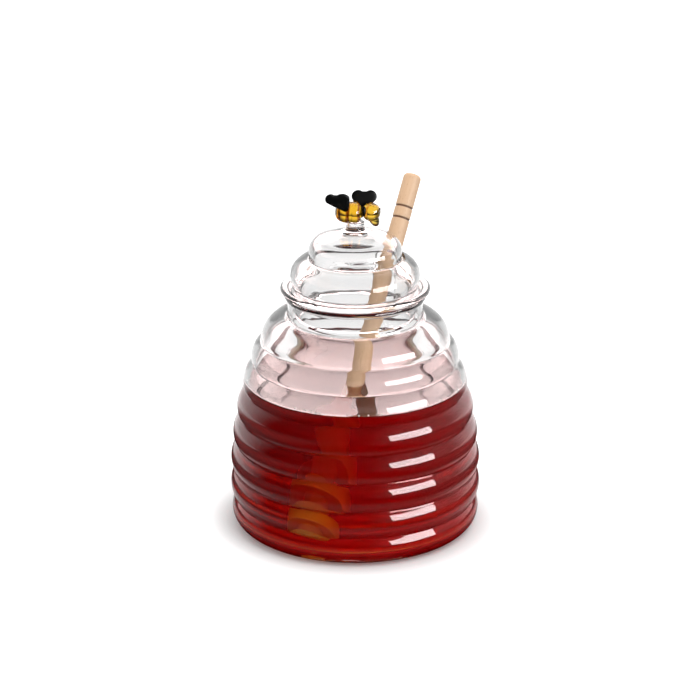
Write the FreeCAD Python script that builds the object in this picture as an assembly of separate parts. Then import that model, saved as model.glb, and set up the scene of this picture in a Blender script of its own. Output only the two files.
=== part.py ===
# Beehive-shaped glass honey jar: the jar, its honey, a wooden dipper that leans in it, and a domed
# glass lid with an arched notch for the dipper and a small glass bee as its knob.
# Millimetres, +Z up. The origin is the centre of the jar's flat underside.
import FreeCAD
import Part
import math
import os
from FreeCAD import Vector

# --- Jar: stacked rings inside an elliptical beehive outline ---
hive_radius = 51.9            # widest radius that the rings reach
hive_widest_height = 19.9     # height at which they reach it
hive_dome_height = 97.5       # half-height of the ellipse above that
first_ring_height = 12.2
ring_pitch = 11.8
middle_rings = 5              # rings of equal pitch above the first one
upper_ring_height = 9.8       # the lower ring under the shoulder
shoulder_height = 9.2
groove_depth = 2.0
least_ring_bulge = 0.4
foot_inset = 6.3              # how far the foot stands in from the widest radius
wall = 2.1
base_thickness = 3.2
neck_radius = 28.2
neck_height = 8.0
neck_waist = 0.5              # how far the neck draws in between shoulder and rim
rim_overhang = 1.0            # how far the rim stands out from the neck
rim_thickness = 2.9
mouth_flare = 1.6             # how far the mouth opens from the neck to the top of the rim
mouth_curve = 0.15            # how far the flare bows out

# --- Honey ---
honey_level = 62.2

# --- Lid ---
skirt_clearance = 1.3         # radial, between the lid's skirt and the jar's neck
skirt_length = 10.0
lid_wall = 1.9
flange_overhang = 1.5         # how far the flange stands out past the jar's rim
flange_thickness = 2.4
dome_overhang = 1.0           # the dome starts this far outside the skirt's radius
lid_ring_bulge = 1.3          # how far the dome's ring stands proud of its start
lid_ring_crest = 4.8          # crest height above the flange
lid_ring_height = 11.4
lid_groove_depth = 0.3        # how far the groove above the ring lies in from the cap's side
cap_step = 6.2                # how far the cap's side stands in from the dome's start
cap_side_height = 3.1         # near-upright side of the cap
cap_shoulder_radius = 6.3
cap_crown_height = 8.7        # from the top of the side to the middle of the crown
foot_radius = 5.9             # the knob's foot on the cap
foot_height = 1.2
foot_hollow = 0.2             # how far the foot's side curves in
stem_radius = 3.8
stem_height = 4.4

# --- Notch in the lid for the dipper ---
notch_clearance = 1.8         # each side of the handle
notch_height = 10.0           # top of the arch above the flange's upper face
cut_margin = 1.0              # how far the cutter reaches below the skirt

# --- Dipper ---
dipper_length = 157.4
dipper_turn_deg = 28.2        # direction of its lean, from +Y towards +X
dipper_side_offset = 2.1      # how far it passes beside the jar's axis
handle_radius = 3.7
head_length = 40.0
head_radius = 10.6            # at the widest disc
head_end_radius = 8.0
head_core_radius = 5.2
head_groove_count = 6
head_groove_width = 3.2
head_neck_length = 5.0        # cone between the last disc and the handle
head_neck_hollow = 0.75       # how far that cone's side curves in
end_round = 1.6
rest_gap = 0.3                # between the dipper and the glass that it rests on
burnt_ring_distances = (14.5, 19.5)
burnt_ring_width = 0.9
burnt_ring_depth = 0.35
lean_guess_deg = 30.0
lean_repeats = 40             # enough for the lean to settle to a millionth of a degree

# --- Bee: amber body, black collar and wings, facing +X ---
bee_seat_depth = 0.7      # how far the stem reaches into the bee's underside
body_half_length = 5.0
body_radius = 4.4
body_offset = -2.4            # centre of the body from the jar's axis
head_ball_radius = 3.8
head_ball_offset = 6.5
waist_radius = 1.3
collar_radius = 2.5
collar_width = 1.3
tail_stretch = 1.0            # extra length of the tapering tail
body_stations = ((-0.62, 0.74), (0.3, 1.0), (0.82, 0.66))  # shares of half-length and radius
body_end_pull = 6.0           # how blunt the curve's two ends are
snout_length = 6.6            # from the centre of the head
snout_root_radius = 3.6
snout_direction = (0.33, -0.1, -0.94)
feeler_length = 4.7
feeler_root_radius = 2.2
feeler_direction = (0.9, -0.2, 0.38)
drawn_tip_radius = 0.35       # end of the snout and of the feeler
wing_thickness = 1.7
wing_side = 2.7               # root of each wing from the bee's middle
wing_splay_deg = 12.0
wing_root_radius = 1.2
wing_left_root = (3.0, 1.6)   # along the bee from the jar's axis, and above the bee's axis
wing_right_root = (-3.2, 2.2)
# Each lobe is a disc: direction from upright towards the head in degrees, distance, radius.
wing_left_lobes = ((-23.0, 4.0, 3.0), (38.0, 5.4, 2.8))
wing_right_lobes = ((-50.0, 8.2, 2.3), (-28.0, 4.2, 3.3))

node_folder = "parts"


def neck_bore():
    return neck_radius - neck_waist - wall


def rim_radius():
    return neck_radius + rim_overhang


def valley_heights():
    heights = [first_ring_height + index * ring_pitch for index in range(middle_rings + 1)]
    return heights + [heights[-1] + upper_ring_height]


def neck_start():
    return valley_heights()[-1] + shoulder_height


def rim_top():
    return neck_start() + neck_height + rim_thickness


def flange_top():
    return rim_top() + flange_thickness


def hive_outline(height, inset=0.0):
    """Point and outward normal, as (radius, height) pairs, on the ellipse that the rings fill."""
    share = (height - hive_widest_height) / hive_dome_height
    radius = hive_radius * math.sqrt(max(0.0, 1.0 - share ** 2))
    normal = (radius / hive_radius ** 2, share / hive_dome_height)
    size = math.hypot(*normal)
    normal = (normal[0] / size, normal[1] / size)
    return (radius - inset * normal[0], height - inset * normal[1])


def groove_points(inset):
    """The valleys between the rings, from the foot to the start of the neck."""
    points = [(hive_radius - foot_inset - inset, 0.0)]
    points += [hive_outline(height, groove_depth + inset) for height in valley_heights()]
    points.append(neck_corner(points[-1], inset))
    return points


def neck_corner(valley, inset):
    """Where shoulder and neck meet, moved in so that both keep the wall.

    With the shoulder's slope s, the corner moves in by the inset and down by inset tan((90 - s) / 2).
    """
    slope = math.atan2(neck_start() - valley[1], valley[0] - neck_radius)
    drop = inset * math.tan((math.radians(90.0) - slope) / 2.0)
    return (neck_radius - inset, neck_start() - drop)


def line(start, end):
    return Part.LineSegment(Vector(start[0], 0, start[1]), Vector(end[0], 0, end[1])).toShape()


def arc(start, middle, end):
    corners = [Vector(point[0], 0, point[1]) for point in (start, middle, end)]
    return Part.Arc(*corners).toShape()


def bulged(start, end, bulge):
    """Arc from start to end whose middle stands off the chord by bulge, to the right of its run."""
    run = (end[0] - start[0], end[1] - start[1])
    length = math.hypot(*run)
    middle = ((start[0] + end[0]) / 2 + bulge * run[1] / length,
              (start[1] + end[1]) / 2 - bulge * run[0] / length)
    return arc(start, middle, end)


def quarter_round(start, end, radius):
    """Rounded corner: a quarter circle, whose middle stands off its chord by radius (1 - cos 45)."""
    return bulged(start, end, radius * (1.0 - math.cos(math.radians(45.0))))


def arc_about(centre, radius, first_angle, last_angle):
    """Arc from one angle to another about a centre, and its two end points."""
    angles = (first_angle, (first_angle + last_angle) / 2, last_angle)
    points = [(centre[0] + radius * math.cos(angle), centre[1] + radius * math.sin(angle))
              for angle in angles]
    return arc(*points), points[0], points[2]


def ring_bulge(low, high, inset):
    """Height of a ring's arc over its chord, so that its crest meets the hive's ellipse."""
    middle = ((low[0] + high[0]) / 2, (low[1] + high[1]) / 2)
    crest = hive_outline(middle[1], inset)
    run = (high[0] - low[0], high[1] - low[1])
    stand_off = ((crest[0] - middle[0]) * run[1] - (crest[1] - middle[1]) * run[0]) / math.hypot(*run)
    return max(stand_off, least_ring_bulge)


def ring_arcs(points, inset):
    return [bulged(low, high, ring_bulge(low, high, inset)) for low, high in zip(points, points[1:])]


def turned(edges):
    """Solid of revolution about Z from a closed outline in the XZ plane."""
    face = Part.Face(Part.Wire(edges))
    return face.revolve(Vector(0, 0, 0), Vector(0, 0, 1), 360)


def hive_solid():
    """The jar's outside, filled: foot, rings, drawn-in neck and rolled rim."""
    valleys = groove_points(0.0)
    foot, neck = valleys[0], valleys[-1]
    rim_low = (rim_radius() - rim_thickness / 2, rim_top() - rim_thickness)
    rim_high = (rim_low[0], rim_top())
    edges = [line((0, 0), foot)]
    edges += ring_arcs(valleys, 0.0)
    edges.append(arc(neck, (neck_radius - neck_waist, neck[1] + neck_height / 2), rim_low))
    edges.append(arc(rim_low, (rim_radius(), rim_top() - rim_thickness / 2), rim_high))
    edges.append(line(rim_high, (0, rim_top())))
    edges.append(line((0, rim_top()), (0, 0)))
    return turned(edges)


def cavity_solid():
    """The jar's inside: floor, inner rings, straight neck and flared mouth."""
    valleys = groove_points(wall)
    floor_edge = (valleys[0][0], base_thickness)
    mouth_low = (neck_bore(), rim_top() - rim_thickness)
    mouth_high = (neck_bore() + mouth_flare, rim_top())
    edges = [line((0, base_thickness), floor_edge)]
    edges += ring_arcs([floor_edge] + valleys[1:], wall)
    edges.append(line(valleys[-1], mouth_low))
    edges.append(bulged(mouth_low, mouth_high, mouth_curve))
    edges.append(line(mouth_high, (0, rim_top())))
    edges.append(line((0, rim_top()), (0, base_thickness)))
    return turned(edges)


def dipper_axis():
    """Lower end of the dipper's axis and its lean from upright, in its own upright plane.

    The head's end stands on the jar's floor and slides out until the head meets the wall; the handle
    leans on the mouth, at its lower or its upper edge, whichever it meets first. The dipper passes
    beside the jar's axis. The lean follows from those two ends, found by repeating the sum.
    """
    mouth_edges = ((neck_bore(), rim_top() - rim_thickness), (neck_bore() + mouth_flare, rim_top()))
    floor_ring = groove_points(wall)[1]
    lean = math.radians(lean_guess_deg)
    for _ in range(lean_repeats):
        end_height = base_thickness + rest_gap + end_round * (1.0 - math.cos(lean))
        end_height += (head_end_radius - end_round) * math.sin(lean)
        end_radius = beside_axis(floor_ring[0] - rest_gap - head_end_radius * math.cos(lean))
        half_handle = handle_radius / math.cos(lean)
        reaches = [(beside_axis(radius - rest_gap - half_handle), height) for radius, height in mouth_edges]
        lean = min(math.atan2(reach + end_radius, height - end_height) for reach, height in reaches)
    return end_radius, end_height, lean


def beside_axis(radius):
    """Length along the dipper's plane, which passes beside the axis, of a point at a radius."""
    return math.sqrt(radius ** 2 - dipper_side_offset ** 2)


def turn_to_dipper(shape):
    """Turns a shape whose +X runs along the dipper's lean, and shifts it into the dipper's plane."""
    shape.translate(Vector(0, -dipper_side_offset, 0))
    shape.rotate(Vector(0, 0, 0), Vector(0, 0, 1), 90.0 - dipper_turn_deg)
    return shape


def place_dipper(shape):
    """Moves a shape built upright on the Z axis to the dipper's resting place."""
    end_radius, end_height, lean = dipper_axis()
    shape.rotate(Vector(0, 0, 0), Vector(0, 1, 0), math.degrees(lean))
    shape.translate(Vector(-end_radius, 0, end_height))
    return turn_to_dipper(shape)


def head_outline(height):
    """Radius of the head's barrel shape at a height above its end."""
    share = 2.0 * height / head_length - 1.0
    return head_radius - (head_radius - head_end_radius) * share ** 2


def dipper_solid():
    """One turned piece: rounded end, grooved head, neck cone, handle with two burnt rings."""
    pitch = head_length / (head_groove_count + 0.5)
    edges = [line((0, 0), (head_end_radius - end_round, 0))]
    last = (head_end_radius, end_round)
    edges.append(quarter_round((head_end_radius - end_round, 0), last, end_round))
    for index in range(head_groove_count):
        groove_low = (index + 1) * pitch - head_groove_width
        groove_high = groove_low + head_groove_width
        disc_edge = (head_outline(groove_low), groove_low)
        edges.append(line(last, disc_edge))
        edges.append(line(disc_edge, (head_core_radius, groove_low)))
        edges.append(line((head_core_radius, groove_low), (head_core_radius, groove_high)))
        last = (head_outline(groove_high), groove_high)
        edges.append(line((head_core_radius, groove_high), last))
    top_disc = (head_outline(head_length), head_length)
    handle_low = (handle_radius, head_length + head_neck_length)
    edges.append(line(last, top_disc))
    edges.append(bulged(top_disc, handle_low, -head_neck_hollow))
    last = handle_low
    for distance in sorted(burnt_ring_distances, reverse=True):
        ring_low = (handle_radius, dipper_length - distance - burnt_ring_width / 2)
        ring_high = (handle_radius, ring_low[1] + burnt_ring_width)
        middle = (handle_radius - burnt_ring_depth, dipper_length - distance)
        edges.append(line(last, ring_low))
        edges.append(arc(ring_low, middle, ring_high))
        last = ring_high
    shoulder = (handle_radius, dipper_length - end_round)
    crown = (handle_radius - end_round, dipper_length)
    edges.append(line(last, shoulder))
    edges.append(quarter_round(shoulder, crown, end_round))
    edges.append(line(crown, (0, dipper_length)))
    edges.append(line((0, dipper_length), (0, 0)))
    return place_dipper(turned(edges))


def skirt_radius():
    return neck_bore() - skirt_clearance


def dome_radius():
    return skirt_radius() + dome_overhang


def cap_radius():
    return dome_radius() - cap_step


def cap_edges(inset, last_radius):
    """The cap's side, shoulder and crown up to a radius near the axis, and its first and last point.

    Shoulder and crown are arcs that meet in one tangent. With the shoulder's arc of radius r about
    (a - r, side top) and the crown h high in the middle, the crown's radius is
    ((a - r)^2 + h^2 - r^2) / (2 (h - r)).
    """
    groove_height = flange_top() + lid_ring_height
    side_top = groove_height + cap_side_height
    groove = (cap_radius() - lid_groove_depth - inset, groove_height - inset / 2)
    shoulder_centre = (cap_radius() - cap_shoulder_radius, side_top)
    shoulder_radius = cap_shoulder_radius - inset
    height = cap_crown_height - inset
    crown_radius = (shoulder_centre[0] ** 2 + height ** 2 - shoulder_radius ** 2)
    crown_radius /= 2.0 * (height - shoulder_radius)
    crown_centre = (0.0, side_top + height - crown_radius)
    tangent = math.atan2(side_top - crown_centre[1], shoulder_centre[0])
    shoulder, side_end, _ = arc_about(shoulder_centre, shoulder_radius, 0.0, tangent)
    crown, _, top = arc_about(crown_centre, crown_radius, tangent, math.acos(last_radius / crown_radius))
    return [line(groove, side_end), shoulder, crown], groove, top


def lid_side(inset):
    """Edges of the dome from its start at the flange to the crown, and its end points."""
    start_radius = dome_radius() - inset
    start = (start_radius, flange_top())
    crest = (start_radius + lid_ring_bulge, flange_top() + lid_ring_crest)
    cap, groove, top = cap_edges(inset, foot_radius if inset == 0 else 0.0)
    return [arc(start, crest, groove)] + cap, start, top


def lid_solid():
    """Skirt, flange, ringed dome and knob stem as one wall of glass, with the dipper's notch."""
    skirt = skirt_radius()
    skirt_low = rim_top() - skirt_length
    flange_edge = rim_radius() + flange_overhang - flange_thickness / 2
    outer, dome_start, cap_top = lid_side(0.0)
    foot_top = cap_top[1] + foot_height
    stem_top = cap_top[1] + stem_height
    edges = [line((0, skirt_low), (skirt, skirt_low))]
    edges.append(line((skirt, skirt_low), (skirt, rim_top())))
    edges.append(line((skirt, rim_top()), (flange_edge, rim_top())))
    edges.append(bulged((flange_edge, rim_top()), (flange_edge, flange_top()), flange_thickness / 2))
    edges.append(line((flange_edge, flange_top()), dome_start))
    edges += outer
    edges.append(bulged(cap_top, (stem_radius, foot_top), -foot_hollow))
    edges.append(line((stem_radius, foot_top), (stem_radius, stem_top)))
    edges.append(line((stem_radius, stem_top), (0, stem_top)))
    edges.append(line((0, stem_top), (0, skirt_low)))
    solid = turned(edges)

    inner, inner_start, inner_top = lid_side(lid_wall)
    skirt_inside = skirt - lid_wall
    hollow = [line((0, skirt_low), (skirt_inside, skirt_low))]
    hollow.append(line((skirt_inside, skirt_low), (skirt_inside, rim_top())))
    hollow.append(line((skirt_inside, rim_top()), inner_start))
    hollow += inner
    hollow.append(line(inner_top, (0, skirt_low)))
    return solid.cut(turned(hollow)).cut(notch_solid())


def notch_solid():
    """Arch-topped cutter that runs out from the middle of the lid along the dipper's direction."""
    half_width = handle_radius + notch_clearance
    low = rim_top() - skirt_length - cut_margin
    spring = flange_top() + notch_height - half_width
    corners = [Vector(0, -half_width, low), Vector(0, half_width, low),
               Vector(0, half_width, spring), Vector(0, -half_width, spring)]
    crown = Vector(0, 0, spring + half_width)
    edges = [Part.LineSegment(corners[0], corners[1]).toShape(),
             Part.LineSegment(corners[1], corners[2]).toShape(),
             Part.Arc(corners[2], crown, corners[3]).toShape(),
             Part.LineSegment(corners[3], corners[0]).toShape()]
    reach = 2.0 * rim_radius()
    cutter = Part.Face(Part.Wire(edges)).extrude(Vector(reach, 0, 0))
    return turn_to_dipper(cutter)


def stem_top_height():
    return lid_side(0.0)[2][1] + stem_height


def bee_height():
    """Height of the bee's long axis, with its underside sunk a little over the stem."""
    return stem_top_height() + body_radius - bee_seat_depth


def drawn_point(length, root_radius, direction, centre):
    """Cone from a ball's centre to a fine tip, along a direction."""
    cone = Part.makeCone(root_radius, drawn_tip_radius, length, Vector(0, 0, 0), Vector(0, 0, 1))
    turn = FreeCAD.Rotation(Vector(0, 0, 1), Vector(*direction))
    cone.Placement = FreeCAD.Placement(centre, turn)
    return cone


def bee_body():
    """Tapering body, waist and head ball with a snout and a feeler, in one piece of amber glass."""
    height = bee_height()
    axis = Vector(1, 0, 0)
    tail = Vector(-body_half_length - tail_stretch, 0, 0)
    nose = Vector(body_half_length, 0, 0)
    stations = [Vector(along * body_half_length, 0, up * body_radius) for along, up in body_stations]
    pull = Vector(0, 0, body_end_pull)
    back_curve = Part.BSplineCurve()
    back_curve.interpolate(Points=[tail] + stations + [nose], InitialTangent=pull, FinalTangent=-pull)
    outline = Part.Wire([back_curve.toShape(), Part.LineSegment(nose, tail).toShape()])
    body = Part.Face(outline).revolve(Vector(0, 0, 0), axis, 360)
    body.translate(Vector(body_offset, 0, height))
    head_centre = Vector(head_ball_offset, 0, height)
    head = Part.makeSphere(head_ball_radius, head_centre)
    waist = Part.makeCylinder(waist_radius, head_ball_offset - body_offset,
                              Vector(body_offset, 0, height), axis)
    snout = drawn_point(snout_length, snout_root_radius, snout_direction, head_centre)
    feeler = drawn_point(feeler_length, feeler_root_radius, feeler_direction, head_centre)
    return body.fuse([waist, head, snout, feeler]).removeSplitter()


def bee_collar(body):
    """Black glass ring round the waist, between body and head."""
    middle = (body_offset + body_half_length + head_ball_offset - head_ball_radius) / 2
    ring = Part.makeCylinder(collar_radius, collar_width,
                             Vector(middle - collar_width / 2, 0, bee_height()), Vector(1, 0, 0))
    return ring.cut(body)


def wing_disc(x, z, radius):
    return Part.makeCylinder(radius, wing_thickness, Vector(x, -wing_thickness / 2, z), Vector(0, 1, 0))


def wing_plate(root, lobes, side):
    """Two-lobed plate that widens from its root; side is +1 for the bee's left and -1 for its right."""
    plate = wing_disc(0, 0, wing_root_radius)
    for direction, distance, radius in lobes:
        x = distance * math.sin(math.radians(direction))
        z = distance * math.cos(math.radians(direction))
        plate = plate.fuse([wing_disc(x, z, radius), wing_web(x, z, radius)])
    plate = plate.removeSplitter()
    plate.rotate(Vector(0, 0, 0), Vector(1, 0, 0), -side * wing_splay_deg)
    plate.translate(Vector(root[0], side * wing_side, bee_height() + root[1]))
    return plate


def wing_web(x, z, radius):
    """Flat piece between the root's disc and a lobe's disc, along their common tangents."""
    distance = math.hypot(x, z)
    tilt = math.atan2(x, z)
    slope = math.asin((radius - wing_root_radius) / distance)
    corners = []
    for sign in (-1, 1):
        direction = tilt + sign * (math.pi / 2 + slope)
        offset = (math.sin(direction), math.cos(direction))
        corners.append(((wing_root_radius * offset[0], wing_root_radius * offset[1]),
                        (x + radius * offset[0], z + radius * offset[1])))
    outline = [corners[0][0], corners[0][1], corners[1][1], corners[1][0]]
    points = [Vector(px, -wing_thickness / 2, pz) for px, pz in outline]
    face = Part.Face(Part.makePolygon(points + points[:1]))
    return face.extrude(Vector(0, wing_thickness, 0))


def save(shape, name):
    solids = shape.Solids
    solid = solids[0] if len(solids) == 1 else shape
    print(name, len(solids), "solid", round(shape.Volume, 1), "mm3, valid", shape.isValid())
    solid.exportStep(os.path.join(node_folder, name + ".step"))


def main():
    os.makedirs("parts", exist_ok=True)
    cavity = cavity_solid()
    dipper = dipper_solid()
    fill = Part.makeCylinder(2 * hive_radius, honey_level, Vector(0, 0, 0), Vector(0, 0, 1))
    body = bee_body()
    collar = bee_collar(body)
    wing_left = wing_plate(wing_left_root, wing_left_lobes, 1).cut([body, collar])
    wing_right = wing_plate(wing_right_root, wing_right_lobes, -1).cut([body, collar])
    save(hive_solid().cut(cavity), "jar")
    save(cavity.common(fill).cut(dipper), "honey")
    save(dipper, "dipper")
    save(lid_solid().cut(body), "lid")
    save(body, "bee_body")
    save(collar, "bee_collar")
    save(wing_left, "wing_left")
    save(wing_right, "wing_right")


main()
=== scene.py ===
"""Beehive honey jar of clear glass with dark red honey, a leaning wooden dipper and a domed lid with a bee.

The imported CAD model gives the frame. Every piece here is a surface worked out with numpy in millimetres
and written to its mesh in metres, in the frame's own place.
"""
import math

import bmesh
import bpy
import numpy as np
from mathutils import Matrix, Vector


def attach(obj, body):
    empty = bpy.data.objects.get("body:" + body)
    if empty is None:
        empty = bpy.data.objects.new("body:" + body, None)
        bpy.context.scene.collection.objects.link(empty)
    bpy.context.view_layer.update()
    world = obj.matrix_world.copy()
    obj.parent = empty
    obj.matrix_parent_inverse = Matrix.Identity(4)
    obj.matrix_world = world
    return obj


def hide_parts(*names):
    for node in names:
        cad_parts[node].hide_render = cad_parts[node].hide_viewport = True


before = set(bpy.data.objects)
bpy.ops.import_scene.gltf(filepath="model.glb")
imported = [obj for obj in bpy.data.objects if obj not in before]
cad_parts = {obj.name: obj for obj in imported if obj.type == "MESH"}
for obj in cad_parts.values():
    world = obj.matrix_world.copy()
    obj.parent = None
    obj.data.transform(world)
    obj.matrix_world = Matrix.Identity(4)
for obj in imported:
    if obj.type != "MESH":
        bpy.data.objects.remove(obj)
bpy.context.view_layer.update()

MM = 0.001

# --- sizes in millimetres, as the CAD model has them ---
HIVE_RADIUS = 51.9
HIVE_WIDEST = 19.9
HIVE_DOME = 97.5
FIRST_RING = 12.2
RING_PITCH = 11.8
MIDDLE_RINGS = 5
UPPER_RING = 9.8
SHOULDER = 9.2
GROOVE = 2.0
LEAST_BULGE = 0.4
FOOT_INSET = 6.3
WALL = 2.1
FLOOR = 3.2
NECK_RADIUS = 28.2
NECK_HEIGHT = 8.0
NECK_WAIST = 0.5
RIM_OVERHANG = 1.0
RIM_THICKNESS = 2.9
MOUTH_FLARE = 1.6
MOUTH_CURVE = 0.15
HONEY_LEVEL = 62.2
MENISCUS_RISE = 1.3
MENISCUS_REACH = 1.5
WALL_BITE = 0.3               # how far the honey's skin reaches into the glass

SKIRT_CLEARANCE = 1.3
SKIRT_LENGTH = 10.0
LID_WALL = 1.9
FLANGE_OVERHANG = 1.5
FLANGE_THICKNESS = 2.4
DOME_OVERHANG = 1.0
LID_RING_BULGE = 1.3
LID_RING_CREST = 4.8
LID_RING_HEIGHT = 11.4
LID_GROOVE = 0.3
CAP_STEP = 6.2
CAP_SIDE = 3.1
CAP_SHOULDER = 6.3
CAP_CROWN = 8.7
KNOB_FOOT_RADIUS = 5.9
KNOB_FOOT_HEIGHT = 1.2
KNOB_FOOT_HOLLOW = 0.2
STEM_RADIUS = 3.8
STEM_HEIGHT = 4.4
NOTCH_CLEARANCE = 1.8
NOTCH_HEIGHT = 10.0
CUT_MARGIN = 1.0

DIPPER_LENGTH = 157.4
DIPPER_TURN = math.radians(28.2)
DIPPER_SIDE = 2.1
HANDLE_RADIUS = 3.7
HEAD_LENGTH = 40.0
HEAD_RADIUS = 10.6
HEAD_END_RADIUS = 8.0
HEAD_CORE = 5.2
HEAD_GROOVES = 6
HEAD_GROOVE_WIDTH = 3.2
HEAD_NECK = 5.0
HEAD_NECK_HOLLOW = 0.75
END_ROUND = 1.6
REST_GAP = 0.3
BURNT_RINGS = (14.5, 19.5)
BURNT_WIDTH = 0.9
BURNT_DEPTH = 0.35

BEE_SEAT = 0.7
BEE_BODY_RADIUS = 4.4
WING_THICKNESS = 1.7
WING_SIDE = 2.7
WING_SPLAY = math.radians(12.0)

NECK_START = FIRST_RING + MIDDLE_RINGS * RING_PITCH + UPPER_RING + SHOULDER
RIM_TOP = NECK_START + NECK_HEIGHT + RIM_THICKNESS
RIM_RADIUS = NECK_RADIUS + RIM_OVERHANG
FLANGE_TOP = RIM_TOP + FLANGE_THICKNESS
NECK_BORE = NECK_RADIUS - NECK_WAIST - WALL
SKIRT_RADIUS = NECK_BORE - SKIRT_CLEARANCE
DOME_RADIUS = SKIRT_RADIUS + DOME_OVERHANG
CAP_RADIUS = DOME_RADIUS - CAP_STEP
QUARTER_BULGE = 1.0 - math.cos(math.radians(45.0))
HEAD_PITCH = HEAD_LENGTH / (HEAD_GROOVES + 0.5)     # the disc above the last groove takes half a pitch

# --- the bee's forms: x along its nose, y, and height over its axis ---
BEE_DROP = ((-8.2, 0.0, -0.2), (2.9, 0.0, 0.0))
BEE_DROP_BLUNT = 0.75
BEE_BELLY = (-0.1, 0.0, -0.2)
BEE_BELLY_HALF = (3.0, 4.7, 4.7)
BEE_WAIST = ((-1.0, 0.0, 0.0), (6.0, 0.0, 0.0))
BEE_WAIST_RADIUS = 1.3
BEE_HEAD = (6.5, 0.0, 0.0)
BEE_HEAD_RADIUS = 3.8
BEE_SNOUT = ((5.9, 0.0, 1.0), (8.9, -0.6, -5.8))
BEE_SNOUT_RADIUS = 2.1
BEE_FEELER = ((6.5, 0.0, 0.0), (10.3, -0.9, 1.7))
BEE_FEELER_RADIUS = 0.9
COLLAR_DISC = (2.8, 0.0, 0.0)
COLLAR_DISC_HALF = (0.6, 2.4, 2.4)
COLLAR_CHEEK = (3.6, -2.2, 0.9)
COLLAR_CHEEK_HALF = (0.9, 1.1, 2.1)
LEFT_WING = ((2.9, 1.9), 1, 2.3, ((-25.0, 4.0, 2.7), (42.0, 4.9, 2.6)))
RIGHT_WING = ((-3.9, 2.2), -1, 1.3, ((-54.0, 7.3, 2.3), (-22.0, 3.4, 3.6)))
LOBE_BRIDGE = 0.8             # radius of the bridge between two lobes, as a share of theirs
LOBE_TAPER = 2.0              # how soon a lobe's radius changes from one end's to the other's

# --- bubbles along the honey's edge ---
BUBBLE_SEED = 7
BUBBLES_NEAR = (-0.85, 0.9, 22)   # first and last angle from the viewer's side, and how many
BUBBLES_ROUND = (1.0, 5.2, 12)
BUBBLE_RADIUS = (0.3, 0.46)
BUBBLE_HEIGHT = (-0.1, 0.5)   # over the honey's edge
BUBBLE_BITE = 0.8             # how far a bubble stands off the wall, as a share of its radius

# --- how finely outlines and meshes are laid ---
JAR_SIDES = 200
LID_SIDES = 192
DIPPER_SIDES = 72
FORM_ROWS = 40
PEBBLE_SIDES = 72
BUBBLE_SKIP = 4
JAR_OUTSIDE_LAY = (0.65, 0.35)    # spacing of an outline's points, and width of their rounding
JAR_INSIDE_LAY = (0.85, 0.9)
LID_OUTSIDE_LAY = (0.35, 0.3)
LID_INSIDE_LAY = (0.5, 0.6)
WOOD_LAY = (0.25, 0.16)
LEAST_POINTS = 8
SAME_POINT = 1e-6
ARC_POINTS = 24
LONG_ARC_POINTS = 40
FLANGE_POINTS = 14
HEAD_NECK_POINTS = 10
SMALL_ARC_POINTS = 8
TINY_ARC_POINTS = 6
ARCH_POINTS = 33
MENISCUS_BAND = 8.0           # width of the finely laid band along the honey's edge
MENISCUS_ROWS = 26
LEVEL_ROWS = 12
MERGE_METRES = 1e-7
SLIVER_METRES = 1e-8
SMOOTH_ANGLE = 40.0
WOOD_SMOOTH_ANGLE = 50.0
MELT_VOXEL = 0.16
BODY_SMOOTHING = 6
COLLAR_SMOOTHING = 2
WING_SMOOTHING = 5

# --- which faces touch honey, by height and by the outward and upward share of the normal ---
WALL_OUTWARD = 0.1
FLOOR_UPWARD = -0.9
SURFACE_UPWARD = 0.5
SURFACE_SLACK = 0.01

SEAT_FIRST_LEAN = math.radians(30.0)
SEAT_ROUNDS = 40


# --- outlines: arrays of (radius, height) ---
def hive_outline(height, inset):
    """Point on the ellipse that the rings fill, moved in by inset along the ellipse's normal."""
    share = (height - HIVE_WIDEST) / HIVE_DOME
    radius = HIVE_RADIUS * math.sqrt(max(0.0, 1.0 - share ** 2))
    normal = np.array([radius / HIVE_RADIUS ** 2, share / HIVE_DOME])
    return np.array([radius, height]) - inset * normal / np.linalg.norm(normal)


def bend(start, end, bulge, count=ARC_POINTS):
    """Circular arc over a chord: the arc's middle stands bulge to the right of the run from start to end.

    With half-angle h = 2 atan(2 bulge / chord), the points are R (sin a, cos a - cos h) for a in -h..h.
    """
    start, end = np.array(start, float), np.array(end, float)
    run = end - start
    chord = np.linalg.norm(run)
    run = run / chord
    side = np.array([run[1], -run[0]])
    half = 2.0 * math.atan(2.0 * bulge / chord)
    radius = chord / (2.0 * math.sin(half))
    angle = np.linspace(-half, half, count)[:, None]
    return (start + end) / 2 + radius * (np.sin(angle) * run + (np.cos(angle) - math.cos(half)) * side)


def through(start, middle, end, count=ARC_POINTS):
    """Circular arc through three points, from start to end, about the centre of their common circle.

    With the points as complex numbers a, b, c and w = (c - a) / (b - a), the centre is
    a - (a - b) (w - |w|^2) / (2 i Im w).
    """
    a, b, c = (complex(*point) for point in (start, middle, end))
    w = (c - a) / (b - a)
    centre = -((a - b) * (w - abs(w) ** 2) / (2j * w.imag) - a)
    first, middle_angle, last = (np.angle(point - centre) for point in (a, b, c))
    turn = (last - first) % (2 * math.pi)
    if (middle_angle - first) % (2 * math.pi) > turn:
        turn -= 2 * math.pi
    angle = first + np.linspace(0, 1, count) * turn
    radius = abs(a - centre)
    return np.stack([centre.real + radius * np.cos(angle), centre.imag + radius * np.sin(angle)], -1)


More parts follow.
